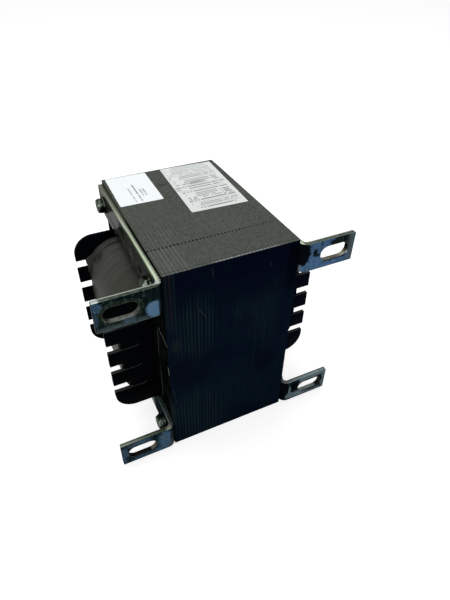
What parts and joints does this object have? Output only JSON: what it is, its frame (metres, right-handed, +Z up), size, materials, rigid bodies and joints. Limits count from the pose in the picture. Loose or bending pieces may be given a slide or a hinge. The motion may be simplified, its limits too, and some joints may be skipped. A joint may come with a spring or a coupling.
{
  "type": "control transformer",
  "caption": "Open control transformer: varnished EI lamination core, comb-edged bobbin with wrapped coil, slotted mounting strips and clamp bolts.",
  "frame": {"origin": "centre of the core's bottom face, which the transformer stands on", "axes": "+X right along the lamination stack and across the feet, +Y away from the mounting plane of the feet, +Z up towards the labelled face"},
  "size_m": [0.163, 0.128, 0.1502],
  "materials": {
    "core_steel": "dark varnish over stacked lamination edges",
    "bobbin_plastic": "black moulded plastic, satin",
    "copper_wire": "enamelled copper wire",
    "barrier_paper": "insulating paper",
    "wrap_film": "dark grey varnished wrap, soft sheen",
    "strip_zinc": "zinc plated, bluish with green and yellow tints",
    "fixing_zinc": "zinc plated, dull",
    "tab_brass": "tinned brass",
    "small_label_paper": "white label, satin",
    "large_label_foil": "silvery grey label, satin"
  },
  "bodies": {
    "root": {"near_yoke": "core_steel", "far_yoke": "core_steel", "top_leg": "core_steel", "centre_leg": "core_steel", "bottom_leg": "core_steel", "bobbin_tube": "bobbin_plastic", "near_flange": "bobbin_plastic", "far_flange": "bobbin_plastic", "inner_winding": "copper_wire", "outer_winding": "copper_wire", "winding_barrier": "barrier_paper", "coil_wrap": "wrap_film", "left_top_strip": "strip_zinc", "right_top_strip": "strip_zinc", "left_bottom_strip": "strip_zinc", "right_bottom_strip": "strip_zinc", "near_top_bolt": "fixing_zinc", "far_top_bolt": "fixing_zinc", "near_bottom_bolt": "fixing_zinc", "far_bottom_bolt": "fixing_zinc", "near_top_head_washer": "fixing_zinc", "far_top_head_washer": "fixing_zinc", "near_bottom_head_washer": "fixing_zinc", "far_bottom_head_washer": "fixing_zinc", "near_top_nut_washer": "fixing_zinc", "far_top_nut_washer": "fixing_zinc", "near_bottom_nut_washer": "fixing_zinc", "far_bottom_nut_washer": "fixing_zinc", "near_top_nut": "fixing_zinc", "far_top_nut": "fixing_zinc", "near_bottom_nut": "fixing_zinc", "far_bottom_nut": "fixing_zinc", "terminal_holders": "bobbin_plastic", "terminal_tabs": "tab_brass", "small_label": "small_label_paper", "large_label": "large_label_foil"}
  },
  "joints": []
}
